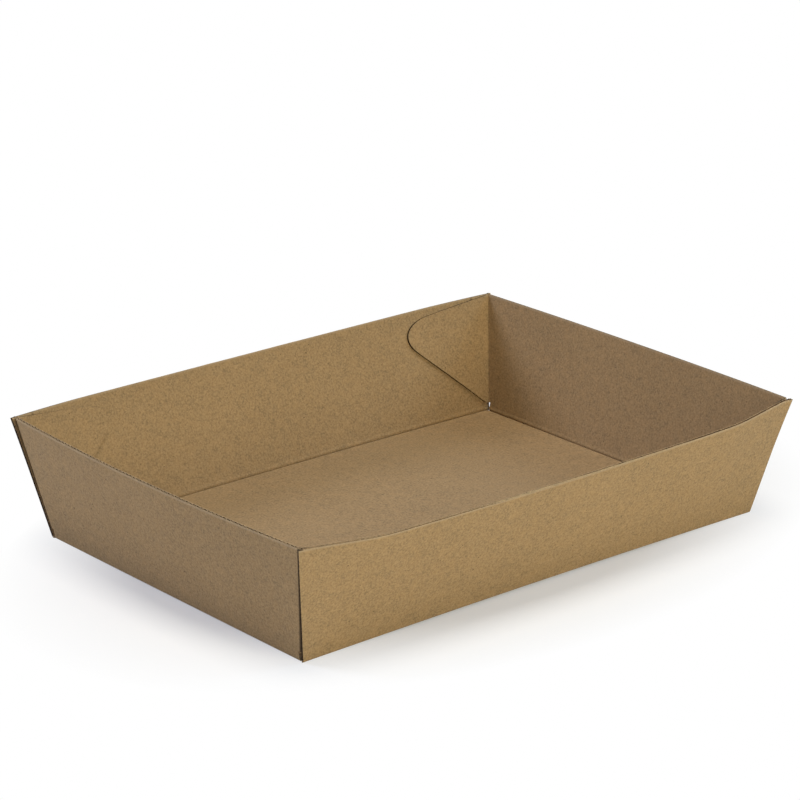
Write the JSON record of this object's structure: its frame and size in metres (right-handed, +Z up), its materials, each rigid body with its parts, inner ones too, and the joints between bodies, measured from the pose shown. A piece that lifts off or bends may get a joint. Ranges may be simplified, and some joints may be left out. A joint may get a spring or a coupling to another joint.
{
  "type": "cardboard tray box",
  "caption": "Open rectangular tray folded from fine-fluted kraft board, with flared walls and corner flaps glued inside the long walls.",
  "frame": {"origin": "middle of the underside of the base, on the surface that the tray stands on", "axes": "+X along the long walls, +Y along the short walls, +Z up out of the open tray"},
  "size_m": [0.2788, 0.2138, 0.0549],
  "materials": {
    "kraft_board": "matte"
  },
  "bodies": {
    "root": {"tray": "kraft_board"}
  },
  "joints": []
}
